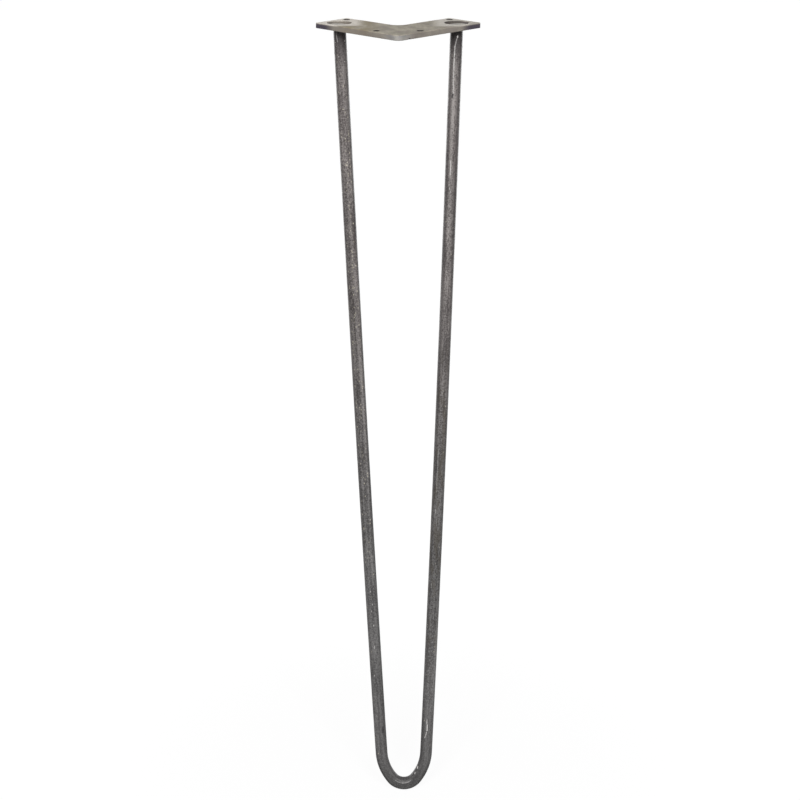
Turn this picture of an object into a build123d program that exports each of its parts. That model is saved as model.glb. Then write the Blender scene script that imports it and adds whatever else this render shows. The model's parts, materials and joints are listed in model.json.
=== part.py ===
"""Hairpin table leg: a V-shaped steel plate with one bent round bar plug-welded into it.

Millimetres, +Z up. The origin is on the plate's top face, where the centrelines of its two arms cross.
The arms run towards +X+Y and -X+Y, and the corner between them points to -Y, which is the table's corner.
"""
import os
from math import acos, atan2, cos, degrees, radians, sin, sqrt

from build123d import *

# Whole leg
overall_height = 711.0  # from the plate's top face down to the floor
bar_diameter = 11.1  # solid round bar, 7/16 in

# Mounting plate
plate_thickness = 4.76  # 3/16 in
arm_length = 101.6  # 4 in, along the outer edge from the sharp corner to the arm's end
arm_width = 38.1  # 1 1/2 in
corner_radius = 6.0  # outer corner, between the arms
crotch_radius = 9.0  # inner corner, between the arms
end_radius = 1.5  # the two corners at each arm's end
edge_break = 0.4  # bevel along the plate's outer edges

# Screw holes
screw_hole_diameter = 5.5
rear_hole_inset = 6.7  # from the arm's end and from its inner edge
front_hole_along = 31.8  # from the sharp corner, along the outer edge
front_hole_edge = 5.6  # from the outer edge

# Seats: a hole drilled along each rod, opening into a wide pocket that takes the weld
seat_inset = 14.9  # from the arm's end and from its outer edge
seat_clearance = 0.3  # all round the bar
pocket_diameter = 21.4
pocket_depth = 3.2
rod_stand = 0.9  # the bar's end above the pocket's floor
weld_crown_depth = 0.9  # top of the weld below the plate's top face
weld_fall = 1.2  # from the weld's crown down to a circle of the pocket's size round it
weld_shift = 2.0  # the crown lies this far outwards of the seat's centre

# Hairpin
splay_angle = 5.0  # the hairpin's plane leans out towards the corner of the table
foot_drift = 5.1  # the foot stands this far to +X of the plate's middle, as bent by hand
foot_radius = 14.0  # centreline of the tight arc at the foot
shoulder_radius = 47.0  # centreline of the slack arcs that run from the foot into the rods
shoulder_turn = 35.0  # degrees that each slack arc turns
rod_radius = 50000.0  # centreline of the rods, which bow outwards by about a millimetre

NODE_FOLDER = "parts"
BAR = Circle(bar_diameter / 2)


def arm_point(along, across):
    """A point in plan on the right arm, from the sharp corner along the outer edge and across from that edge."""
    sharp_corner_y = -arm_width / sqrt(2)
    return (along - across) / sqrt(2), (along + across) / sqrt(2) + sharp_corner_y


def both_sides(point):
    """The same point in plan on the left and on the right arm."""
    x, y = point
    return [(-x, y), (x, y)]


SEAT = arm_point(arm_length - seat_inset, seat_inset)
REAR_HOLE = arm_point(arm_length - rear_hole_inset, arm_width - rear_hole_inset)
FRONT_HOLE = arm_point(front_hole_along, front_hole_edge)


def spoke(heading):
    """Direction from an arc's centre to the bar, at the place where the bar runs at this heading."""
    return Vector(sin(heading), -cos(heading))


def direction(vector):
    return atan2(vector.Y, vector.X)


def hairpin_half(half_spread, rise):
    """One side of the bar's centreline, from the middle of the foot up past the seat, opening towards +X.

    The centre of the foot's arc is the origin, and the seat lies half_spread across and rise above it.
    Three arcs and a line through the plate follow each other without a kink. Bending the bar further swings
    the centre of the rod's arc round the foot's centre, so the bend at which the rod meets its seat follows
    from a triangle.
    """
    turn = radians(shoulder_turn)
    seat = Vector(half_spread, rise)
    unbent = spoke(-turn) * (foot_radius - shoulder_radius) + spoke(0) * (shoulder_radius - rod_radius)
    seat_reach, centre_reach = seat.length, unbent.length
    between = acos((seat_reach**2 + centre_reach**2 - rod_radius**2) / (2 * seat_reach * centre_reach))
    bend = direction(seat) + between - direction(unbent)
    foot_bend = bend - turn
    shoulder_centre = spoke(foot_bend) * (foot_radius - shoulder_radius)
    rod_centre = shoulder_centre + spoke(bend) * (shoulder_radius - rod_radius)
    rod_turn = direction(seat - rod_centre) + radians(90) - bend
    into_plate = Vector(cos(bend + rod_turn), sin(bend + rod_turn)) * (plate_thickness + bar_diameter)
    return [
        CenterArc((0, 0), foot_radius, -90, degrees(foot_bend)),
        CenterArc(shoulder_centre, shoulder_radius, degrees(foot_bend) - 90, shoulder_turn),
        CenterArc(rod_centre, rod_radius, degrees(bend) - 90, degrees(rod_turn)),
        Line(seat, seat + into_plate),
    ]


def hairpin_path():
    """Centreline of the whole bar, from above the left seat round the foot to above the right one."""
    seat_x, seat_y = SEAT
    splay = radians(splay_angle)
    drop = (overall_height - plate_thickness - bar_diameter / 2) / cos(splay)
    rise = drop - foot_radius
    right = hairpin_half(seat_x - foot_drift, rise)
    left = [mirror(edge, about=Plane.YZ) for edge in hairpin_half(seat_x + foot_drift, rise)]
    bend_plane = Plane(origin=(0, seat_y, -plate_thickness), x_dir=(1, 0, 0), z_dir=(0, -cos(splay), sin(splay)))
    return bend_plane * Pos(foot_drift, -rise) * Wire([curve.edge() for curve in left[::-1] + right])


def make_rod(path):
    """One round bar along the path, with its ends cut parallel to the plate."""
    bar = sweep(Plane(origin=path @ 0, z_dir=path % 0) * BAR, path=path)
    return split(bar, Plane((0, 0, rod_stand - pocket_depth)), keep=Keep.BOTTOM)


def pocket(x, y):
    """The round pocket that opens in the plate's top face over a rod's end."""
    return Pos(x, y, -pocket_depth / 2) * Cylinder(pocket_diameter / 2, pocket_depth)


def plate_outline():
    """The V in plan, with every corner rounded."""
    arm = Rot(0, 0, 45) * Pos((arm_length - arm_width) / 2, 0) * Rectangle(arm_length, arm_width)
    outline = arm + mirror(arm, about=Plane.YZ)
    corner, *ends, crotch = outline.vertices().sort_by(Axis.Y)
    for vertices, radius in ((ends, end_radius), ([corner], corner_radius), ([crotch], crotch_radius)):
        outline = fillet([outline.vertices().sort_by_distance(v)[0] for v in vertices], radius)
    return outline


def make_plate(path):
    """Flat V plate with its screw holes, the holes along the rods and the pockets over them."""
    plate = extrude(plate_outline(), amount=-plate_thickness)
    faces = plate.faces().sort_by(Axis.Z)
    plate = chamfer(faces[0].edges() + faces[-1].edges(), edge_break)
    for x, y in both_sides(REAR_HOLE) + both_sides(FRONT_HOLE):
        plate -= Pos(x, y, -plate_thickness / 2) * Cylinder(screw_hole_diameter / 2, plate_thickness)
    for end, (x, y) in zip((0, 1), both_sides(SEAT)):
        drill = Cylinder(bar_diameter / 2 + seat_clearance, 4 * (plate_thickness + bar_diameter))
        plate -= Plane(origin=path @ end, z_dir=path % end) * drill
        plate -= pocket(x, y)
    return plate


def make_weld(x, y, rod):
    """Weld metal in a pocket over the rod's end, with a low crown that stays below the plate's top face."""
    crown_radius = ((pocket_diameter / 2) ** 2 + weld_fall**2) / (2 * weld_fall)
    outwards = weld_shift if x > 0 else -weld_shift
    crown = Pos(x + outwards, y, -weld_crown_depth - crown_radius) * Sphere(crown_radius)
    return (pocket(x, y) & crown) - rod


def main():
    path = hairpin_path()
    rod = make_rod(path)
    left_seat, right_seat = both_sides(SEAT)
    nodes = {
        "mounting_plate": make_plate(path),
        "hairpin_rod": rod,
        "left_weld": make_weld(*left_seat, rod),
        "right_weld": make_weld(*right_seat, rod),
    }
    os.makedirs(NODE_FOLDER, exist_ok=True)
    for name, shape in nodes.items():
        export_step(shape, f"{NODE_FOLDER}/{name}.step")


main()
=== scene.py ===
"""Looks of the hairpin table leg in raw steel: the bent bar, the V plate and the two plug welds.

Metres, +Z up, in the frame of the solids. The origin is on the plate's top face, where the centrelines
of its arms cross. The plate's corner points to -Y, towards the camera, and the foot is the lowest point.
A place on the bar is metres along it from the foot's middle, with the right rod positive, and an angle
inwards from its front.
"""
import json
from math import atan2, ceil, cos, pi, radians, sin, tan

import bmesh
import bpy
import numpy as np
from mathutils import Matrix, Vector, noise
from mathutils.geometry import delaunay_2d_cdt


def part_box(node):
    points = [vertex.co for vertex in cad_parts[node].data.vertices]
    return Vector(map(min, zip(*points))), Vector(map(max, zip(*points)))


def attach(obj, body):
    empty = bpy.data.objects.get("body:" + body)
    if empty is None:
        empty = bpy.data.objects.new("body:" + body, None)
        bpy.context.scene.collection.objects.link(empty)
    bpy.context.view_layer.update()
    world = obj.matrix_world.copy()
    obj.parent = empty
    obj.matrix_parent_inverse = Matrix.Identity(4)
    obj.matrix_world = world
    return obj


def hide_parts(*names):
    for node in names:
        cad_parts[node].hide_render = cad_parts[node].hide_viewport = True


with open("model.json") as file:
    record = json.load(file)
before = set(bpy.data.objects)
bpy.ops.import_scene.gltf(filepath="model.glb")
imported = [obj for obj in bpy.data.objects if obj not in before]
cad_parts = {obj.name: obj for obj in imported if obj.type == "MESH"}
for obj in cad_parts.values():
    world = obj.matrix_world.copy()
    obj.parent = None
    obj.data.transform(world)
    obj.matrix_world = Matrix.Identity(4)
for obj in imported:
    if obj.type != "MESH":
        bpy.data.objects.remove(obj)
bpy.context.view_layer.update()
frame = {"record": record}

# Sizes that the frame gives
mm = 0.001
mounts = {mount["name"]: mount for mount in frame["record"]["mounts"]}
overall_height = -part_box("hairpin_rod")[0].z
plate_thickness = -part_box("mounting_plate")[0].z
weld_low, weld_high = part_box("right_weld")
seat = ((weld_low + weld_high) / 2).xy  # of the right rod, in plan
pocket_radius = (weld_high.x - weld_low.x) / 2
pocket_depth = -weld_low.z
weld_crown_depth = -weld_high.z

# Bar and hairpin, as in the solids
bar_radius = 0.00555  # of the round section
bar_end_depth = 0.0031  # centre of the bar's ends, below the plate's top face and inside the welds
splay = radians(5)  # lean of the hairpin's plane
foot_drift = 0.0051  # how far to the right the foot stands
foot_radius = 0.014  # of the centreline, as are the shoulder's and the rod's
shoulder_radius = 0.047
shoulder_turn = radians(35)
rod_radius = 50.0  # of the rods' slight bow

# Plate, as in the solids
arm_length = 0.1016
arm_width = 0.0381
corner_radius = 0.006
crotch_radius = 0.009
end_radius = 0.0015
seat_clearance = 0.0003  # between the bar and its hole

# Wear and workmanship on the plate that the solids leave out
edge_round = 0.0005  # worn edges
hole_round = 0.00012  # edges of the holes
cut_wobble = 0.00009  # unevenness of the cut sides
wobble_size = 0.004
wobble_shift = Vector((17.3, 5.1, 9.7))  # between the noise that moves x and the noise that moves y
grind_depth = 0.00012  # hollow left by grinding round the welds
ground_from_x = (0.0265, 0.0375)  # where the grinding fades in, outwards from the middle
ground_from_y = (0.0235, 0.0310)  # and backwards from the front
nick = Vector((0.0095, -0.0174, -0.0045))  # dent in the lower edge, right of the corner
nick_size = 0.0014
nick_depth = 0.0004

# Wear and workmanship on the bar
foot_swell = 0.0007  # thickening inside the foot's bend
swell_reach = 0.026  # where it ends, along the bar from the foot's middle
skin_relief = 0.00005  # unevenness of the rolled skin
skin_size = 0.004
skin_stretch = 0.4  # of that unevenness, along the bar
spatter_radius = 0.0005  # largest beads of weld spatter
spatter_least = 0.4  # smallest beads, as a share of the largest
spatter_density = 16000.0  # beads per square metre of bar under the plate
spatter_reach = (0.688, 0.711, 0.012)  # along the bar, with its soft borders
spatter_seed = 4

# Plug welds
weld_shift = 0.002  # from the seat out to the crown's middle
weld_fall = 0.0012  # from the crown down to the rim
weld_crown_radius = (pocket_radius**2 + weld_fall**2) / (2 * weld_fall)
ripple_height = 0.00012
ripple_spacing = 0.0016
lump_size = 0.004
lump_ripples = 5.0  # range of the lumps, in ripple heights
weld_top_share = 0.75  # shares of the mesh's rows for the top and for the underside
weld_under_share = 0.15

# Fineness of the meshes
bar_rings = 1800
bar_sides = 40
bead_fineness = 2
weld_rings = 64
weld_spokes = 128
outline_step = 0.0008  # between points round the plate and its holes
arc_steps = 4  # the fewest on a rounded corner
edge_steps = 4  # over a worn edge
wall_steps = 5  # down a cut side
face_step = 0.0013  # between points on the plate's faces
border_gap = 0.6 * face_step  # between those points and the face's border
merge_distance = 1e-7

# Single marks on the bar, scratches and specks with some painted highlights among them: two places, in
# metres and degrees, then the width and the strength
scratches_and_highlights = [
    ((0.7067, -9), (0.7061, -9), 0.0009, 1.0),
    # Painted highlight: a broken bright streak down the right rod's upper end, from here to the mark at
    # 0.5710
    ((0.7048, -4), (0.6978, 12), 0.0006, 0.3),
    ((0.6978, 12), (0.6915, 13), 0.0008, 0.35),
    ((0.6909, 13), (0.6804, 15), 0.0008, 0.45),
    ((0.6797, 15), (0.6656, 15), 0.0009, 0.28),
    ((0.6650, 14), (0.6575, 12), 0.0009, 0.25),
    ((0.5985, 13), (0.5865, 9), 0.0007, 0.35),
    ((0.5745, 13), (0.5710, 4), 0.0006, 0.35),
    ((0.3370, 17), (0.2965, 19), 0.0005, 0.2),
    ((0.2800, 19), (0.2765, 19), 0.0006, 0.2),
    ((0.2090, 27), (0.2050, 26), 0.0006, 0.2),
    # Painted highlight: a thin bright line on the left rod's top
    ((-0.7097, -33), (-0.7025, -23), 0.0004, 0.4),
    ((-0.2020, -7), (-0.2014, -7), 0.0006, 0.4),
    ((-0.1897, 5), (-0.1889, 5), 0.0006, 0.4),
    ((-0.1828, -9), (-0.1822, -9), 0.0006, 0.4),
    ((-0.1690, 3), (-0.1684, 3), 0.0007, 0.5),
    ((-0.1482, -1), (-0.1463, -3), 0.0006, 0.4),
    ((-0.1200, -19), (-0.1194, -19), 0.0007, 0.45),
    ((0.0754, 9), (0.0718, 7), 0.0005, 0.7),
    ((0.0706, 3), (0.0648, 3), 0.0005, 1.0),
    ((0.0636, 5), (0.0573, 23), 0.0004, 0.7),
    ((0.0253, 61), (0.0238, 55), 0.0009, 1.0),
    ((0.0185, 51), (0.0175, 47), 0.0008, 0.8),
    # Painted highlight: an arc round the foot, in this mark and the next
    ((-0.0112, 23), (-0.0021, 25), 0.0005, 0.25),
    ((-0.0021, 25), (0.0087, 31), 0.0005, 0.25),
]
dents = [
    ((0.6565, 15), (0.6541, 21), 0.0012, 0.8),
    ((0.6026, 53), (0.5988, 57), 0.0012, 0.7),
    ((-0.0678, 31), (-0.0629, 27), 0.0014, 0.7),
]

# Long tones on the bar, some of them painted shade: metres from and to, degrees from and to, and how
# much lighter it is there
tones_and_shade = [
    ((0.55, 0.70), (-45, -20), -0.20),
    ((0.34, 0.54), (-45, -20), 0.15),
    ((0.49, 0.545), (8, 30), 0.35),
    ((0.17, 0.36), (-30, 22), -0.10),
    ((0.09, 0.165), (-70, 60), 0.38),
    ((0.04, 0.46), (-60, -22), 0.22),
    # Painted shade: darker flanks at the left rod's top, under the plate
    ((-0.70, -0.66), (-70, -32), -0.22),
    ((-0.70, -0.60), (28, 60), -0.22),
    ((-0.66, -0.58), (-60, 20), 0.20),
    ((-0.60, -0.36), (-60, 14), -0.18),
    ((-0.56, -0.21), (22, 50), 0.22),
    ((-0.10, -0.05), (-60, -8), 0.22),
    # Painted shade: darker underside and outer side of the foot
    ((-0.03, 0.03), (-130, 40), -0.25),
    ((-0.025, 0.025), (-130, -40), -0.50),
    # Painted shade: darker inner flanks down the left rod and round the foot
    ((-0.66, -0.09), (56, 100), -0.35),
    ((-0.09, 0.09), (52, 100), -0.35),
]
tone_borders = (0.02, 0.15)  # half widths of their soft borders, in metres along and in radians round

# Sizes of the steel's grain
grit_size = 0.0014
cloud_size = 0.008
drawn_size = 0.0022  # lines left by rolling
speck_size = 0.0015
bar_stain_size = 0.004
plate_stain_size = 0.012
blot_size = 0.005
brush_size = 0.0022
plate_grit_size = 0.0018
weld_cloud_size = 0.004

# Where the bar's skin differs: runs in metres and sectors in radians, each from, to and soft border
speckled_run = (-0.67, -0.24, 0.05)
speckled_sector = (-0.8, 0.7, 0.25)
rough_run = (0.12, 0.40, 0.04)
rough_sector = (-0.6, 0.6, 0.2)
flecked_run = (0.50, 0.69, 0.04)
flecked_sector = (-0.3, 0.5, 0.15)
stained_run = (0.14, 0.42, 0.04)
polish_and_highlight_run = (0.42, 0.665, 0.03)
polish_and_highlight_sector = (-0.04, 0.42, 0.15)
polish_and_highlight_from = (0.36, 0.62)  # where the polish and its painted highlight grow, up the right rod
calm_until = (0.05, 0.15)  # where the foot's smoother skin fades out, on both sides
brown_from = (0.20, 0.55)  # where the browner skin of both rods fades in
top_burn_and_shade_from = (0.672, 0.707)  # where the welding's burn and the painted shade under the plate fade in, on both rods

# Zones of the plate, in x from its middle where nothing else is said
ground_wander = 0.008  # how far the stains push the border of the ground patches
ground_forward = 0.003  # how much further forwards the right patch reaches
ground_above = (-0.0012, -0.0004)  # heights over which the grinding fades in
dull_from = (0.056, 0.068)  # less shine at the right end
straw_zone = (-0.050, -0.020, 0.008)  # with its soft border
cut_until = (-0.0008, -0.0001)  # heights over which the cut sides' tint fades out
corner_until = (0.005, 0.015)  # bluish cut side on both sides of the corner
outer_from = (0.028, 0.045)  # lighter cut sides towards the ends
heated_from = (0.053, 0.063)  # black cut sides at the ends
heat_shift = 0.001  # how much further in they start on the right, and further out on the left
heat_below = (0.0001, 0.0018)  # depths over which they turn black
pocket_burn_and_shade_below = (0.00002, 0.00012)  # depths over which the pockets' burn and painted recess shade fade in
pocket_burn_and_shade_until = (seat.x + 0.002, seat.x + 0.009)  # where it fades out in the right pocket
rim_shade_and_burn = (0.0002, 0.0006)  # painted shade and burn, out from a hole's edge

# Colours of the bar
lower_dark = (0.060, 0.058, 0.058, 1)
lower_light = (0.182, 0.177, 0.175, 1)
upper_dark = (0.062, 0.054, 0.053, 1)
upper_light = (0.216, 0.197, 0.191, 1)
pit_black = (0.045, 0.040, 0.036, 1)
speck_cream = (0.53, 0.49, 0.39, 1)
stain_brown = (0.074, 0.064, 0.050, 1)
# Painted highlight on the polished strip of the right rod
polish_highlight_bright = (0.50, 0.48, 0.46, 1)
# Painted shade on the bar's flanks and under the plate, with some welding burn at the tops
bar_shade_and_burn = (0.036, 0.032, 0.033, 1)
# Bright scratches and specks, and painted highlights
scratch_and_highlight_bright = (0.75, 0.73, 0.71, 1)
dent_black = (0.03, 0.028, 0.03, 1)
spatter_grey = (0.50, 0.48, 0.45, 1)

# Colours of the plate and the welds
plate_tan = (0.400, 0.364, 0.289, 1)
plate_olive = (0.244, 0.221, 0.175, 1)
blot_brown = (0.244, 0.205, 0.190, 1)
ground_left = (0.730, 0.680, 0.612, 1)
ground_right = (0.550, 0.515, 0.460, 1)
straw_tint = (0.265, 0.218, 0.130, 1)
worn_grey = (0.182, 0.164, 0.146, 1)
cut_inner = (0.168, 0.148, 0.140, 1)
cut_outer = (0.215, 0.192, 0.178, 1)
cut_corner = (0.222, 0.222, 0.238, 1)
heat_black = (0.034, 0.028, 0.052, 1)
# Painted shade in the screw holes and round their rims, and welding burn with painted shade in the weld
# pockets
hole_shade_and_burn = (0.024, 0.020, 0.020, 1)
nick_black = (0.03, 0.025, 0.03, 1)
weld_pale = (0.43, 0.41, 0.37, 1)
weld_dark = (0.23, 0.21, 0.20, 1)

# Gloss of all the steel, then the strength and depth of each bump
steel_gloss = 0.12
skin_bump = (0.4, 0.0002)
plate_bump = (0.25, 0.0002)
weld_bump = (0.2, 0.0003)

# Studio. Levels are those of a white surface that faces the light.
white = (1, 1, 1, 1)
leg_middle = Vector((0, 0, -overall_height / 2))
ambient_level = 0.15
softbox_size = 0.5
softbox_distance = 2.0
softbox_azimuth = radians(14)  # to both sides of the camera
softbox_elevation = radians(36)
softbox_level = 0.57
back_azimuth = radians(140)
back_elevation = radians(-2)
back_level = 0.45
floor_size = 40.0
floor_colour = (0.45, 0.45, 0.45, 1)
floor_glow = (0.85, 0.91)  # share of white in the floor, near the leg and far from it
floor_fade = (0.10, 0.60)  # distances over which it goes from one to the other
floor_white = 1.1  # strength of that white

# Camera, fitted to the photograph's frame
sensor_width = 36.0  # millimetres, as Blender takes it
image_pixels = 800
focal_pixels = 2173.8
camera_place = (-0.00643, -1.8430, 0.29046)
camera_pitch = radians(18.5988)
camera_yaw = radians(0.245)


class Value:
    """A socket of a node tree. Arithmetic on it adds Math nodes to that tree."""

    def __init__(self, nodes, socket):
        self.nodes = nodes
        self.socket = socket

    def __add__(self, other):
        return self.nodes.math("ADD", self, other)

    def __sub__(self, other):
        return self.nodes.math("SUBTRACT", self, other)

    def __rsub__(self, other):
        return self.nodes.math("SUBTRACT", other, self)

    def __mul__(self, other):
        return self.nodes.math("MULTIPLY", self, other)

    def __truediv__(self, other):
        return self.nodes.math("DIVIDE", self, other)

    def __rtruediv__(self, other):
        return self.nodes.math("DIVIDE", other, self)

    def __pow__(self, other):
        return self.nodes.math("POWER", self, other)

    def __rpow__(self, other):
        return self.nodes.math("POWER", other, self)

    def __neg__(self):
        return self.nodes.math("MULTIPLY", self, -1.0)

    def __abs__(self):
        return self.nodes.math("ABSOLUTE", self)

    __radd__ = __add__
    __rmul__ = __mul__


class Nodes:
    """A node tree that is filled by code, for a material, the world or geometry."""

    def __init__(self, tree):
        self.tree = tree
        tree.nodes.clear()

    def add(self, kind, settings=None, sockets=None, output=None):
        """Adds one node, sets it, then fills its sockets, and returns its output."""
        node = self.tree.nodes.new(kind)
        for name, setting in (settings or {}).items():
            setattr(node, name, setting)
        for name, given in (sockets or {}).items():
            socket = self.pick(node.inputs, name)
            for value in given if isinstance(given, list) else [given]:
                if isinstance(value, Value):
                    self.tree.links.new(value.socket, socket)
                else:
                    socket.default_value = value
        if not node.outputs:
            return None
        return Value(self, self.pick(node.outputs, output))

    @staticmethod
    def pick(sockets, name):
        """The socket of this name or identifier that is in use, or the first one."""
        usable = [socket for socket in sockets if socket.enabled]
        if name is None:
            return usable[0]
        return next(socket for socket in usable if name in (socket.identifier, socket.name))

    def math(self, operation, *values):
        sockets = dict(zip(("Value", "Value_001"), values))
        return self.add("ShaderNodeMath", {"operation": operation}, sockets)

    def vector_math(self, operation, **sockets):
        return self.add("ShaderNodeVectorMath", {"operation": operation}, sockets)

    @staticmethod
    def length(x, y):
        """Length of a flat offset."""
        return (x * x + y * y) ** 0.5

    def smooth(self, value, low, high):
        """0 below low, 1 above high, and a soft step between."""
        sockets = {"Value": value, "From Min": low, "From Max": high}
        return self.add("ShaderNodeMapRange", {"interpolation_type": "SMOOTHSTEP"}, sockets)

    def band(self, value, low, high, soft):
        """1 between low and high, and 0 outside, over soft borders."""
        above = self.smooth(value, low - soft, low + soft)
        return above * (1 - self.smooth(value, high - soft, high + soft))

    def mix(self, factor, colour, other):
        sockets = {"Factor": factor, "A": colour, "B": other}
        return self.add("ShaderNodeMix", {"data_type": "RGBA"}, sockets)

    def vector(self, x, y, z):
        return self.add("ShaderNodeCombineXYZ", {}, {"X": x, "Y": y, "Z": z})

    def part(self, vector, axis):
        return self.add("ShaderNodeSeparateXYZ", {}, {"Vector": vector}, axis)

    def stretch(self, vector, scale):
        return self.vector_math("MULTIPLY", Vector=vector, Vector_001=scale)

    def grain(self, vector, size, detail=3.0, roughness=0.55):
        """Cloudy noise from 0 to 1 with features of about this size."""
        sockets = {"Vector": vector, "Scale": 1 / size, "Detail": detail, "Roughness": roughness}
        return self.add("ShaderNodeTexNoise", {}, sockets)

    def place(self):
        """Object coordinates, which are the frame's."""
        return self.add("ShaderNodeTexCoord", {}, {}, "Object")

    def attribute(self, name, output="Fac"):
        """A value that the mesh keeps under this name."""
        return self.add("ShaderNodeAttribute", {"attribute_name": name}, {}, output)

    def bump(self, height, strength, distance):
        sockets = {"Height": height, "Strength": strength, "Distance": distance}
        return self.add("ShaderNodeBump", {}, sockets)


def material(name, surface):
    """A material whose surface function fills a node tree and gives the Principled shader's sockets."""
    made = bpy.data.materials.new(name)
    made.use_nodes = True
    nodes = Nodes(made.node_tree)
    shader = nodes.add("ShaderNodeBsdfPrincipled", {}, surface(nodes), "BSDF")
    nodes.add("ShaderNodeOutputMaterial", {}, {"Surface": shader})
    return made


def mill_scale(nodes):
    """The bar's dark rolled skin: gritty and rubbed, with marks placed along and round the bar, painted
    shade on its flanks, under the plate and under the foot, and painted highlights.
    """
    along = nodes.attribute("along")
    section = nodes.attribute("section", "Vector")
    facing = nodes.part(section, "X")
    inwards = -nodes.part(section, "Y")
    turn = nodes.math("ARCTAN2", inwards, facing)  # round the bar, inwards from its front
    place = nodes.vector(facing, inwards, along)

    grit = nodes.grain(place, grit_size, 2, 0.7)
    cloud = nodes.grain(nodes.stretch(place, (1, 1, 0.25)), cloud_size, 4)
    drawn = nodes.grain(nodes.stretch(place, (1, 1, 0.03)), drawn_size, 3)
    calm = (1 - nodes.smooth(abs(along), *calm_until)) * 0.3
    rubbed = nodes.smooth(grit * 0.45 + cloud * 0.25 + drawn * 0.30, 0.40, 0.60)
    rubbed = rubbed + (0.5 - rubbed) * calm
    upper = nodes.smooth(abs(along), *brown_from)
    dark = nodes.mix(upper, lower_dark, upper_dark)
    light = nodes.mix(upper, lower_light, upper_light)
    colour = nodes.mix(rubbed, dark, light)

    # Dark pits on both rods, and light specks, thick on the left rod and rare elsewhere
    cells = {"Vector": nodes.stretch(place, (1, 1, 0.75)), "Scale": 1 / speck_size}
    dot = nodes.add("ShaderNodeTexVoronoi", {}, cells, "Distance")
    lot = nodes.part(nodes.add("ShaderNodeTexVoronoi", {}, cells, "Color"), "X")
    speckled = nodes.band(along, *speckled_run) * nodes.band(turn, *speckled_sector)
    speckled = speckled * (nodes.smooth(cloud, 0.36, 0.56) * 0.7 + 0.3)
    rough = nodes.band(along, *rough_run) * nodes.band(turn, *rough_sector) * 1.7
    rough = rough + nodes.band(along, *flecked_run) * nodes.band(turn, *flecked_sector) * 1.2
    pit = (speckled + rough) * (1 - nodes.smooth(grit, 0.36, 0.52))
    colour = nodes.mix(pit * 0.35, colour, pit_black)
    speck = (1 - nodes.smooth(dot, 0.15, 0.5)) * nodes.smooth(lot + speckled * 0.25, 0.96, 1.0)
    colour = nodes.mix(speck * 0.75, colour, speck_cream)

    # Brown stains on the lower half of the right rod, and a polished strip down its upper half,
    # lightened as a painted highlight
    stain = nodes.grain(nodes.stretch(place, (1, 1, 0.2)), bar_stain_size, 3)
    stain = nodes.smooth(stain, 0.48, 0.60) * nodes.band(along, *stained_run)
    colour = nodes.mix(stain * 0.5, colour, stain_brown)
    polish_and_highlight = nodes.band(along, *polish_and_highlight_run) * nodes.band(turn, *polish_and_highlight_sector)
    polish_and_highlight = polish_and_highlight * nodes.smooth(along, *polish_and_highlight_from) * nodes.smooth(drawn + grit, 0.75, 1.25)
    colour = nodes.mix(polish_and_highlight * 0.2, colour, polish_highlight_bright)

    # Long tones, some of them painted shade
    colour = nodes.stretch(colour, long_tones_and_shade(nodes, along, turn))
    # Painted shade on the flanks and under the plate, with some welding burn at the tops
    colour = nodes.mix(painted_flank_and_top_shade(nodes, along, inwards, upper), colour, bar_shade_and_burn)
    colour = single_marks(nodes, colour, along, turn, grit)
    spatter = nodes.attribute("spatter")
    colour = nodes.mix(spatter, colour, spatter_grey)
    height = (grit * 0.7 + cloud * 0.2) * (1 - calm) + speck * 0.4
    return {
        "Base Color": colour,
        "Roughness": 0.6 - rubbed * 0.1 - polish_and_highlight * 0.15,
        "Metallic": 0.05 + rubbed * 0.1 + polish_and_highlight * 0.15 + spatter * 0.4,
        "Specular IOR Level": steel_gloss,
        "Normal": nodes.bump(height, *skin_bump),
    }


def long_tones_and_shade(nodes, along, turn):
    """How light the bar's skin is, with some painted shade among the long tones: 1 where there is no
    long tone.
    """
    shade = 1.0
    soft_run, soft_sector = tone_borders
    for run, sector, lighter in tones_and_shade:
        sector = [radians(angle) for angle in sector]
        inside = nodes.band(along, *run, soft_run) * nodes.band(turn, *sector, soft_sector)
        shade = shade + inside * lighter
    return shade


def painted_flank_and_top_shade(nodes, along, inwards, upper):
    """How dark the flanks are, which is painted shade, and the tops under the plate, which is painted
    shade with some welding burn.
    """
    inner = inwards / bar_radius  # 1 at the inner flank and -1 at the outer
    left = nodes.smooth(inner, 0.6, 0.92) * 0.55 + nodes.smooth(-inner, 0.4, 0.9) * 0.4
    right = nodes.smooth(abs(inner), 0.25, 0.7) * 0.5
    hand = nodes.smooth(along, -0.01, 0.01)  # 0 on the left rod and 1 on the right
    flank_shade = (left + hand * (right - left)) * (upper * 0.6 + 0.4)
    burn_and_shade = nodes.smooth(abs(along), *top_burn_and_shade_from) * (hand * 0.06 + 0.78)
    return nodes.math("MAXIMUM", flank_shade, burn_and_shade)


def single_marks(nodes, colour, along, turn, grit):
    """Adds the bright scratches and the painted highlights, which the grit breaks up, and the dark
    dents.
    """
    broken = nodes.smooth(grit, 0.15, 0.55)
    for start, finish, width, strength in scratches_and_highlights:
        bright = mark(nodes, along, turn, start, finish, width) * broken
        colour = nodes.mix(bright * strength, colour, scratch_and_highlight_bright)
    for start, finish, width, strength in dents:
        dent = mark(nodes, along, turn, start, finish, width)
        colour = nodes.mix(dent * strength, colour, dent_black)
    return colour


def mark(nodes, along, turn, start, finish, width):
    """1 on a straight mark between two places on the bar, given as metres along and degrees inwards."""
    first = Vector((start[0], radians(start[1]) * bar_radius))
    run = Vector((finish[0], radians(finish[1]) * bar_radius)) - first
    x, y = along - first.x, turn * bar_radius - first.y
    share = (x * run.x + y * run.y) / run.length_squared
    share = nodes.math("MINIMUM", nodes.math("MAXIMUM", share, 0.0), 1.0)
    distance = nodes.length(x - share * run.x, y - share * run.y)
    return 1 - nodes.smooth(distance, width * 0.4, width)


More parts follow.
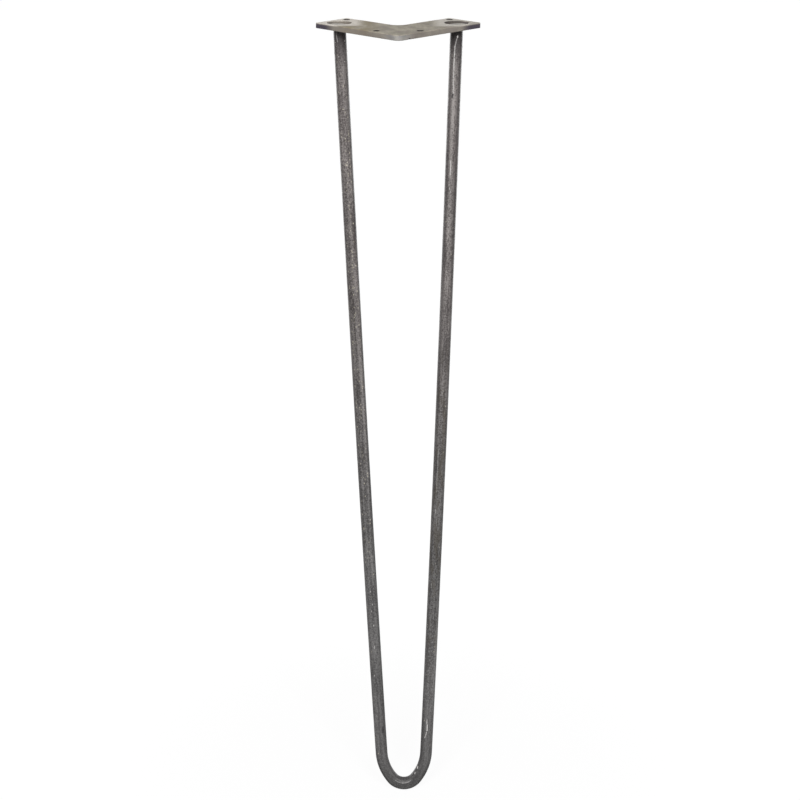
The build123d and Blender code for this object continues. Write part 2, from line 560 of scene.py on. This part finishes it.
def plate_steel(nodes):
    """Tan plate with cloudy stains, ground bright round the welds, burnt at its ends, with painted shade
    in its screw holes and burn with painted shade in its pockets.
    """
    place = nodes.place()
    x, y, z = (nodes.part(place, axis) for axis in "XYZ")
    out = abs(x)
    hand = nodes.math("SIGN", x)  # -1 on the left arm and 1 on the right
    stain = nodes.grain(nodes.stretch(place, (1, 0.5, 1)), plate_stain_size, 5)
    blot = nodes.grain(nodes.stretch(place, (1, 0.4, 0)), blot_size, 3)
    brushed = nodes.grain(nodes.vector((out + y) * 0.15 + hand, y - out, z), brush_size, 3)
    grit = nodes.grain(place, plate_grit_size, 2, 0.7)
    colour = nodes.mix(nodes.smooth(stain, 0.36, 0.66), plate_tan, plate_olive)
    colour = nodes.mix(nodes.smooth(blot, 0.45, 0.65) * 0.5, colour, blot_brown)

    # Ground patches round the welds, a straw tint by the left one, and wear all over
    wander = (stain - 0.5) * ground_wander
    ground = nodes.smooth(out + wander, *ground_from_x)
    ground = ground * nodes.smooth(y + wander + (hand + 1) * (ground_forward / 2), *ground_from_y)
    ground = ground * nodes.smooth(z, *ground_above) * (1 - nodes.smooth(x, *dull_from) * 0.5)
    shine = nodes.mix(nodes.smooth(x, -0.02, 0.02), ground_left, ground_right)
    colour = nodes.mix(ground * 0.9, colour, shine)
    straw = nodes.band(x, *straw_zone) * nodes.smooth(stain, 0.30, 0.60)
    colour = nodes.mix(straw * (1 - ground * 0.8) * 0.7, colour, straw_tint)
    worn = nodes.smooth(brushed * 0.6 + grit * 0.4, 0.40, 0.66)
    colour = nodes.mix(worn * 0.4, colour, worn_grey)

    colour = cut_sides(nodes, colour, out, z, hand)
    colour = shaded_and_burnt_holes(nodes, colour, x, y, z, hand)
    from_nick = nodes.vector_math("DISTANCE", Vector=place, Vector_001=nick)
    colour = nodes.mix(1 - nodes.smooth(from_nick, nick_size * 0.5, nick_size), colour, nick_black)
    return {
        "Base Color": colour,
        "Roughness": 0.6 - ground * 0.12,
        "Metallic": 0.08 + ground * 0.2,
        "Specular IOR Level": steel_gloss,
        "Normal": nodes.bump(worn, *plate_bump),
    }


def cut_sides(nodes, colour, out, z, hand):
    """Tints the cut sides: bluish at the corner, brown along the arms, black with heat at the ends."""
    side = 1 - nodes.smooth(z, *cut_until)
    cut = nodes.mix(nodes.smooth(out, *outer_from), cut_inner, cut_outer)
    cut = nodes.mix(1 - nodes.smooth(out, *corner_until), cut, cut_corner)
    colour = nodes.mix(side * 0.6, colour, cut)
    heat = nodes.smooth(out + hand * heat_shift, *heated_from) * side * nodes.smooth(-z, *heat_below)
    return nodes.mix(heat * 0.85, colour, heat_black)


def shaded_and_burnt_holes(nodes, colour, x, y, z, hand):
    """Paints shade into the screw holes and round their rims, and darkens the weld pockets with burn and
    painted shade, the right one most, but not its outer end.
    """
    out = abs(x)
    burn_and_shade = nodes.smooth(-z, *pocket_burn_and_shade_below) * (hand * 0.26 + 0.46)
    burn_and_shade = burn_and_shade * (1 - nodes.smooth(x, *pocket_burn_and_shade_until) * 0.9)
    holes = [(*hole, 1.0) for hole in screw_holes() if hole[0].x > 0]
    for centre, radius, strength in holes + [(seat, pocket_radius, burn_and_shade)]:
        beyond = nodes.length(out - centre.x, y - centre.y) - radius
        black = (1 - nodes.smooth(beyond, *rim_shade_and_burn)) * strength
        # Painted shade in the screw holes, and burn with painted shade in the pockets
        colour = nodes.mix(black, colour, hole_shade_and_burn)
    return colour


def weld_metal(nodes):
    """Dull grey weld metal, clouded with dark heat."""
    cloud = nodes.grain(nodes.place(), weld_cloud_size, 4)
    return {
        "Base Color": nodes.mix(nodes.smooth(cloud, 0.35, 0.7), weld_pale, weld_dark),
        "Roughness": 0.5,
        "Metallic": 0.2,
        "Specular IOR Level": steel_gloss,
        "Normal": nodes.bump(cloud, *weld_bump),
    }


class Shape(Nodes):
    """A geometry tree with named inputs, whose result becomes one plain mesh."""

    def __init__(self, name):
        super().__init__(bpy.data.node_groups.new(name, "GeometryNodeTree"))
        self.tree.interface.new_socket("Geometry", in_out="OUTPUT", socket_type="NodeSocketGeometry")
        self.entry = self.tree.nodes.new("NodeGroupInput")
        self.sizes = {}

    def size(self, name, value):
        """A named input of the tree, with the value that the piece is made with."""
        kind = "NodeSocketInt" if isinstance(value, int) else "NodeSocketFloat"
        item = self.tree.interface.new_socket(name, in_out="INPUT", socket_type=kind)
        self.sizes[item.identifier] = value
        return Value(self, self.pick(self.entry.outputs, item.identifier))

    def store(self, geometry, name, kind, value):
        """Keeps a value on every point, under a name that materials can read."""
        settings = {"data_type": kind, "domain": "POINT"}
        sockets = {"Geometry": geometry, "Name": name, "Value": value}
        return self.add("GeometryNodeStoreNamedAttribute", settings, sockets)

    def named(self, name, kind):
        return self.add("GeometryNodeInputNamedAttribute", {"data_type": kind}, {"Name": name})

    def make(self, geometry, finish):
        """Ends the tree, runs it and returns the result as an object with a plain mesh."""
        geometry = self.add("GeometryNodeRealizeInstances", {}, {"Geometry": geometry})
        geometry = self.add("GeometryNodeSetMaterial", {}, {"Geometry": geometry, "Material": finish})
        self.add("NodeGroupOutput", {}, {"Geometry": geometry})
        name = self.tree.name
        piece = bpy.data.objects.new(name, bpy.data.meshes.new(name))
        bpy.context.scene.collection.objects.link(piece)
        modifier = piece.modifiers.new(name, "NODES")
        modifier.node_group = self.tree
        for identifier, value in self.sizes.items():
            modifier[identifier] = value
        evaluated = piece.evaluated_get(bpy.context.evaluated_depsgraph_get())
        made = bpy.data.meshes.new_from_object(evaluated)
        piece.modifiers.clear()
        piece.data = made
        return piece


def hairpin_line(shape):
    """The bar's centreline: a tight foot arc, two slack arcs and two slightly bowed rods."""
    foot_depth = (overall_height - plate_thickness - bar_radius) / cos(splay)
    rise = shape.size("Seat above foot centre", foot_depth - foot_radius)
    end_rise = shape.size("End above seat", (plate_thickness - bar_end_depth) / cos(splay))
    half_seat = shape.size("Seat from middle", seat.x)
    drift = shape.size("Foot drift", foot_drift)
    tight = shape.size("Foot radius", foot_radius)
    slack = shape.size("Shoulder radius", shoulder_radius)
    turn = shape.size("Shoulder turn", shoulder_turn)
    bow_diameter = shape.size("Rod radius", rod_radius) * 2
    rings = shape.size("Rings", bar_rings)

    # How far along the bar each ring lies, from the foot's middle, with the right side positive
    line = shape.add("GeometryNodeCurvePrimitiveLine")
    line = shape.add("GeometryNodeResampleCurve", {}, {"Curve": line, "Count": rings})
    share = shape.add("GeometryNodeSplineParameter", {}, {}, "Factor") * 2 - 1
    side = shape.math("SIGN", share)
    spread = half_seat - side * drift
    reach = shape.length(spread, rise)
    offset = slack + (tight - slack) * shape.math("COSINE", turn)
    to_seat = (reach * reach - offset * offset) ** 0.5 - (slack - tight) * shape.math("SINE", turn)
    seat_bow = to_seat * to_seat / bow_diameter
    bend = shape.math("ARCCOSINE", (seat_bow - offset) / reach) - shape.math("ARCTAN2", spread, rise)
    foot_bend = bend - turn
    along = share * (tight * foot_bend + slack * turn + to_seat + end_rise)

    # The ring's place, from the turn made so far in the foot's arc and the slack arc, and the rod's bow
    went = abs(along)
    first = shape.math("MINIMUM", went / tight, foot_bend)
    second = shape.math("MINIMUM", (went - tight * foot_bend) / slack, turn)
    second = shape.math("MAXIMUM", second, 0.0)
    straight = shape.math("MAXIMUM", went - tight * foot_bend - slack * turn, 0.0)
    bow = straight * straight / bow_diameter
    heading = first + second
    sine, cosine = shape.math("SINE", heading), shape.math("COSINE", heading)
    across = (tight - slack) * shape.math("SINE", first) + (slack - bow) * sine + straight * cosine
    up = (slack - tight) * shape.math("COSINE", first) + (bow - slack) * cosine + straight * sine - rise
    y = up * sin(splay) + seat.y
    z = up * cos(splay) - plate_thickness
    centre = shape.vector(side * across + drift, y, z)
    line = shape.store(line, "along", "FLOAT", along)
    line = shape.add("GeometryNodeSetPosition", {}, {"Geometry": line, "Position": centre})
    front = (0, -cos(splay), sin(splay))
    return shape.add("GeometryNodeSetCurveNormal", {"mode": "FREE"}, {"Curve": line, "Normal": front})


def rolled_skin(shape, bar, radius):
    """The bar with its skin uneven, and with a swelling inside the foot."""
    swell = shape.size("Foot swell", foot_swell)
    relief = shape.size("Skin relief", skin_relief)
    along = shape.named("along", "FLOAT")
    section = shape.named("section", "FLOAT_VECTOR")
    facing, outwards = shape.part(section, "X"), shape.part(section, "Y")
    place = shape.vector(facing, outwards, along * skin_stretch)
    skin = (shape.grain(place, skin_size, 2) - 0.5) * 2 * relief
    near_foot = 1 - shape.smooth(abs(along), 0.0, swell_reach)
    lift = skin + swell * near_foot * shape.smooth(-outwards / radius, -0.2, 1.0)
    normal = shape.add("GeometryNodeInputNormal")
    push = shape.vector_math("SCALE", Vector=normal, Scale=lift)
    return shape.add("GeometryNodeSetPosition", {}, {"Geometry": bar, "Offset": push})


def spatter_beads(shape, bar):
    """Beads of weld spatter on the bar, thicker towards the plate."""
    reach = shape.band(abs(shape.named("along", "FLOAT")), *spatter_reach)
    density = shape.size("Spatter density", spatter_density) * reach
    spots = {"Mesh": bar, "Density": density, "Seed": spatter_seed}
    spots = shape.add("GeometryNodeDistributePointsOnFaces", {}, spots, "Points")
    spots = shape.store(spots, "spatter", "FLOAT", 1.0)
    bead = {"Radius": shape.size("Spatter radius", spatter_radius), "Subdivisions": bead_fineness}
    bead = shape.add("GeometryNodeMeshIcoSphere", {}, bead, "Mesh")
    lot = {"Min": spatter_least, "Max": 1.0, "Seed": spatter_seed}
    lot = shape.add("FunctionNodeRandomValue", {"data_type": "FLOAT"}, lot)
    beads = {"Points": spots, "Instance": bead, "Scale": lot}
    return shape.add("GeometryNodeInstanceOnPoints", {}, beads)


def hairpin_bar(finish):
    """The bar: a round section swept along the hairpin, with its skin and the spatter on it."""
    shape = Shape("hairpin_bar")
    radius = shape.size("Bar radius", bar_radius)
    sides = shape.size("Sides", bar_sides)
    ring = shape.add("GeometryNodeCurvePrimitiveCircle", {}, {"Resolution": sides, "Radius": radius})
    ring = shape.store(ring, "section", "FLOAT_VECTOR", shape.add("GeometryNodeInputPosition"))
    sweep = {"Curve": hairpin_line(shape), "Profile Curve": ring, "Fill Caps": True}
    bar = shape.add("GeometryNodeCurveToMesh", {}, sweep)
    bar = rolled_skin(shape, bar, radius)
    bar = shape.add("GeometryNodeJoinGeometry", {}, {"Geometry": [bar, spatter_beads(shape, bar)]})
    bar = shape.add("GeometryNodeSetShadeSmooth", {}, {"Geometry": bar})
    return shape.make(bar, finish)


def plug_weld(name, side, finish):
    """Weld metal in one pocket: a low rippled crown, with its rim against the pocket's wall."""
    shape = Shape(name)
    radius = shape.size("Pocket radius", pocket_radius)
    crown_depth = shape.size("Crown depth", weld_crown_depth)
    floor_depth = shape.size("Pocket depth", pocket_depth)
    crown = shape.size("Crown radius", weld_crown_radius)
    shift = shape.size("Crown shift", weld_shift * side)
    ripple = shape.size("Ripple height", ripple_height)
    spacing = shape.size("Ripple spacing", ripple_spacing)
    sockets = {"Size X": 1.0, "Size Y": 1.0, "Vertices X": weld_rings, "Vertices Y": weld_spokes}
    grid = shape.add("GeometryNodeMeshGrid", {}, sockets, "Mesh")

    # Grid rows run from the crown out to the rim, down the wall and back under the middle
    spot = shape.add("GeometryNodeInputPosition")
    row = shape.part(spot, "X") + 0.5
    angle = (shape.part(spot, "Y") + 0.5) * (2 * pi)
    out = shape.math("MINIMUM", row / weld_top_share, 1.0)
    out = shape.math("MINIMUM", out, (1 - row) / weld_under_share) * radius
    x = out * shape.math("COSINE", angle)
    y = out * shape.math("SINE", angle)
    from_crown = shape.length(x - shift, y)
    fall = crown - (crown * crown - from_crown * from_crown) ** 0.5
    phase = from_crown / spacing * (2 * pi) + angle
    wave = shape.math("SINE", phase) * ripple
    lumps = (shape.grain(shape.vector(x, y, 0.0), lump_size, 3) - 0.5) * lump_ripples * ripple
    top = -crown_depth - fall - ripple * (1 + lump_ripples / 2) + wave + lumps
    wall = shape.smooth(row, weld_top_share, 1 - weld_under_share)
    z = top * (1 - wall) - floor_depth * wall
    place = shape.vector(x + seat.x * side, y + seat.y, z)
    weld = shape.add("GeometryNodeSetPosition", {}, {"Geometry": grid, "Position": place})
    weld = shape.add("GeometryNodeMergeByDistance", {}, {"Geometry": weld, "Distance": merge_distance})
    weld = shape.add("GeometryNodeSetShadeSmooth", {}, {"Geometry": weld})
    return shape.make(weld, finish)


def rounded_outline(corners):
    """Points and inward normals round a plan outline, anticlockwise, with an arc at each corner."""
    loop = []
    for index, (corner, radius) in enumerate(corners):
        back = (corners[index - 1][0] - corner).normalized()
        ahead = (corners[(index + 1) % len(corners)][0] - corner).normalized()
        outer = ahead.x * back.y - ahead.y * back.x > 0
        half = back.angle(ahead) / 2
        centre = corner + (back + ahead).normalized() * radius / sin(half)
        first = corner + back * radius / tan(half) - centre
        start = atan2(first.y, first.x)
        sweep = (pi - 2 * half) * (1 if outer else -1)
        steps = max(arc_steps, ceil(radius * abs(sweep) / outline_step))
        for step in range(steps + 1):
            angle = start + sweep * step / steps
            spoke = Vector((cos(angle), sin(angle)))
            loop.append((centre + spoke * radius, -spoke if outer else spoke))
    full = []
    for (point, normal), (following, _) in zip(loop, loop[1:] + loop[:1]):
        pieces = max(1, round((following - point).length / outline_step))
        full += [(point.lerp(following, piece / pieces), normal) for piece in range(pieces)]
    return full


def round_hole(centre, radius):
    """Points and normals into the metal round a hole, clockwise."""
    steps = ceil(2 * pi * radius / outline_step)
    angles = [2 * pi * step / steps for step in range(steps)]
    spokes = [Vector((cos(angle), -sin(angle))) for angle in angles]
    return [(centre + spoke * radius, spoke) for spoke in spokes]


def edge_profile(rounding, depth):
    """Insets and heights from the rounded top edge down a straight wall to this depth."""
    turns = [radians(90) * step / edge_steps for step in range(edge_steps + 1)]
    top = [(rounding * (1 - sin(turn)), -rounding * (1 - cos(turn))) for turn in turns]
    drop = (depth - 2 * rounding) / wall_steps
    walls = [(0.0, -rounding - drop * step) for step in range(1, wall_steps)]
    return top + walls


def through_profile(rounding):
    """Insets and heights of an edge that goes right through the plate, alike above and below."""
    upper = edge_profile(rounding, plate_thickness)
    lower = [(inset, -plate_thickness - height) for inset, height in upper[edge_steps::-1]]
    return upper + lower


def seat_profile(rounding):
    """Insets and heights of a weld pocket and of the narrower hole for the bar below it."""
    step_in = pocket_radius - bar_radius - seat_clearance
    lower = [(-step_in, -pocket_depth), (-step_in, -plate_thickness)]
    return edge_profile(rounding, pocket_depth + rounding) + [(0.0, -pocket_depth)] + lower


def wall_rings(mesh, loop, profile):
    """Adds the wall round one loop, and returns its top and bottom rings of vertices."""
    rings = []
    for inset, height in profile:
        points = [point + normal * inset for point, normal in loop]
        rings.append([mesh.verts.new((*point, height)) for point in points])
    for upper, lower in zip(rings, rings[1:]):
        for index in range(len(upper)):
            mesh.faces.new((upper[index - 1], lower[index - 1], lower[index], upper[index]))
    return rings[0], rings[-1]


def flat_face(mesh, rings, holes, upwards):
    """Fills the space inside the first ring and outside the others with even triangles."""
    border = [vertex for ring in rings for vertex in ring]
    flat = np.array([vertex.co.xy for vertex in border])
    low, high = flat.min(axis=0), flat.max(axis=0)
    columns = np.arange(low[0], high[0], face_step)
    rows = np.arange(low[1], high[1], face_step)
    spread = np.stack(np.meshgrid(columns, rows), axis=-1).reshape(-1, 2)
    gap = np.array([np.hypot(*(flat - point).T).min() for point in spread])
    inner = spread[gap > border_gap]
    edges, start = [], 0
    for ring in rings:
        edges += [(start + index, start + (index + 1) % len(ring)) for index in range(len(ring))]
        start += len(ring)
    points = [Vector(point) for point in np.concatenate([flat, inner])]
    outline = list(range(len(rings[0])))
    corners, _, triangles, origins, _, _ = delaunay_2d_cdt(points, edges, [outline], 1, merge_distance)
    made = {}
    for triangle in triangles:
        middle = sum((corners[index] for index in triangle), Vector((0, 0))) / 3
        if any((middle - centre).length < radius for centre, radius in holes):
            continue
        for index in triangle:
            origin = origins[index][0]
            if origin < len(border):
                made[index] = border[origin]
            elif index not in made:
                made[index] = mesh.verts.new((*corners[index], rings[0][0].co.z))
        face = [made[index] for index in triangle]
        mesh.faces.new(face if upwards else face[::-1])


def screw_holes():
    """Centre and radius of each screw hole, from the mounts."""
    for name in ("front_screws", "rear_screws"):
        sizes = mounts[name]["dims"]
        for side in (-1, 1):
            x = side * sizes["spacing_x_mm"] * mm / 2
            yield Vector((x, mounts[name]["pos_m"][1])), sizes["hole_r_mm"] * mm


def v_plate(finish):
    """The V plate with worn edges, its screw holes and the stepped holes that take bar and weld."""
    along = Vector((1, 1)).normalized()
    across = Vector((-1, 1)).normalized()
    corner = Vector((0, -arm_width / 2**0.5))
    mirrored = Vector((-1, 1))
    outer_end = corner + along * arm_length
    inner_end = outer_end + across * arm_width
    outline = rounded_outline([
        (corner, corner_radius),
        (outer_end, end_radius),
        (inner_end, end_radius),
        (-corner, crotch_radius),
        (inner_end * mirrored, end_radius),
        (outer_end * mirrored, end_radius),
    ])
    screws = list(screw_holes())
    pockets = [(seat * Vector((side, 1)), pocket_radius) for side in (-1, 1)]
    bar_holes = [(centre, bar_radius + seat_clearance) for centre, _ in pockets]
    mesh = bmesh.new()
    loops = [(outline, through_profile(edge_round))]
    loops += [(round_hole(*hole), through_profile(hole_round)) for hole in screws]
    loops += [(round_hole(*hole), seat_profile(hole_round)) for hole in pockets]
    rings = [wall_rings(mesh, loop, profile) for loop, profile in loops]
    flat_face(mesh, [top for top, _ in rings], screws + pockets, True)
    flat_face(mesh, [bottom for _, bottom in rings], screws + bar_holes, False)
    for vertex in mesh.verts:
        wear_plate(vertex)
    for face in mesh.faces:
        face.smooth = True
    data = bpy.data.meshes.new("v_plate")
    mesh.to_mesh(data)
    mesh.free()
    data.materials.append(finish)
    plate = bpy.data.objects.new("v_plate", data)
    bpy.context.scene.collection.objects.link(plate)
    return plate


def ramp(value, low, high):
    """0 below low, 1 above high, and a soft step between, for numbers."""
    share = min(max((value - low) / (high - low), 0.0), 1.0)
    return share * share * (3 - 2 * share)


def wear_plate(vertex):
    """Lowers the ground zones of the top, makes the cut sides uneven and presses the nick in."""
    x, y, z = vertex.co
    ground = ramp(abs(x), *ground_from_x) * ramp(y, *ground_from_y)
    vertex.co.z -= grind_depth * ground * max(0.0, 1 + z / plate_thickness)
    spot = vertex.co / wobble_size
    wobble = Vector((noise.noise(spot), noise.noise(spot + wobble_shift), 0)) * cut_wobble
    dent = nick_depth * (1 - ramp((vertex.co - nick).length, 0.0, nick_size))
    vertex.co += wobble + Vector((-dent, dent, dent))


def dress(piece, slot, *nodes):
    """Makes a piece stand for its nodes on the leg's one body."""
    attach(piece, "root")
    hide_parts(*nodes)


def seen_as_background(nodes):
    """1 for what the camera, a reflection or a clear surface looks at, and 0 for light on surfaces."""
    kinds = ("Is Camera Ray", "Is Glossy Ray", "Is Transmission Ray")
    camera, glossy, through = (nodes.add("ShaderNodeLightPath", {}, {}, kind) for kind in kinds)
    return nodes.math("MINIMUM", camera + glossy + through, 1.0)


def light_world():
    """A world that is white to look at and lights the leg faintly from all sides."""
    world = bpy.data.worlds.new("studio")
    world.use_nodes = True
    bpy.context.scene.world = world
    nodes = Nodes(world.node_tree)
    seen = seen_as_background(nodes)
    sky = {"Color": white, "Strength": seen * (1 - ambient_level) + ambient_level}
    nodes.add("ShaderNodeOutputWorld", {}, {"Surface": nodes.add("ShaderNodeBackground", {}, sky)})


def light_softbox(name, azimuth, elevation, level):
    """A square soft light aimed at the leg's middle, which lights what faces it to this level."""
    data = bpy.data.lights.new(name, "AREA")
    data.size = softbox_size
    data.energy = level * (pi * softbox_distance) ** 2
    lamp = bpy.data.objects.new(name, data)
    away = Vector((sin(azimuth) * cos(elevation), -cos(azimuth) * cos(elevation), sin(elevation)))
    lamp.location = leg_middle + away * softbox_distance
    lamp.rotation_euler = away.to_track_quat("Z", "Y").to_euler()
    bpy.context.scene.collection.objects.link(lamp)


def floor_finish():
    """White floor that keeps the leg's shadow and can be seen through from below."""
    made = bpy.data.materials.new("white_floor")
    made.use_nodes = True
    nodes = Nodes(made.node_tree)
    paint = nodes.add("ShaderNodeBsdfDiffuse", {}, {"Color": floor_colour})
    glow = nodes.add("ShaderNodeEmission", {}, {"Color": white, "Strength": floor_white})
    from_leg = nodes.vector_math("LENGTH", Vector=nodes.stretch(nodes.place(), (1, 1, 0)))
    near, far = floor_glow
    share = nodes.smooth(from_leg, *floor_fade) * (far - near) + near
    sockets = {"Fac": seen_as_background(nodes) * share, "Shader": paint, "Shader_001": glow}
    upper = nodes.add("ShaderNodeMixShader", {}, sockets)
    under = nodes.add("ShaderNodeNewGeometry", {}, {}, "Backfacing")
    clear = nodes.add("ShaderNodeBsdfTransparent")
    sockets = {"Fac": under, "Shader": upper, "Shader_001": clear}
    surface = nodes.add("ShaderNodeMixShader", {}, sockets)
    nodes.add("ShaderNodeOutputMaterial", {}, {"Surface": surface})
    return made


def lay_floor():
    """The floor, level with the foot."""
    data = bpy.data.meshes.new("floor")
    reach = floor_size / 2
    corners = [(-reach, -reach), (reach, -reach), (reach, reach), (-reach, reach)]
    data.from_pydata([(x, y, -overall_height) for x, y in corners], [], [(0, 1, 2, 3)])
    data.materials.append(floor_finish())
    floor = bpy.data.objects.new("floor", data)
    bpy.context.scene.collection.objects.link(floor)


def place_camera():
    data = bpy.data.cameras.new("camera")
    data.sensor_width = sensor_width
    data.lens = focal_pixels / image_pixels * sensor_width
    camera = bpy.data.objects.new("camera", data)
    camera.location = camera_place
    camera.rotation_euler = (pi / 2 - camera_pitch, 0, -camera_yaw)
    bpy.context.scene.collection.objects.link(camera)
    bpy.context.scene.camera = camera


bar = hairpin_bar(material("mill_scale", mill_scale))
dress(bar, "bar_steel", "hairpin_rod")
plate = v_plate(material("plate_steel", plate_steel))
dress(plate, "plate_steel", "mounting_plate")
weld_finish = material("weld_metal", weld_metal)
for name, side in (("left", -1), ("right", 1)):
    weld = plug_weld(f"{name}_plug_weld", side, weld_finish)
    dress(weld, "weld_metal", f"{name}_weld")

bpy.context.scene.view_settings.view_transform = "Standard"
light_world()
light_softbox("softbox_left", -softbox_azimuth, softbox_elevation, softbox_level)
light_softbox("softbox_right", softbox_azimuth, softbox_elevation, softbox_level)
light_softbox("back_left", -back_azimuth, back_elevation, back_level)
light_softbox("back_right", back_azimuth, back_elevation, back_level)
lay_floor()
place_camera()
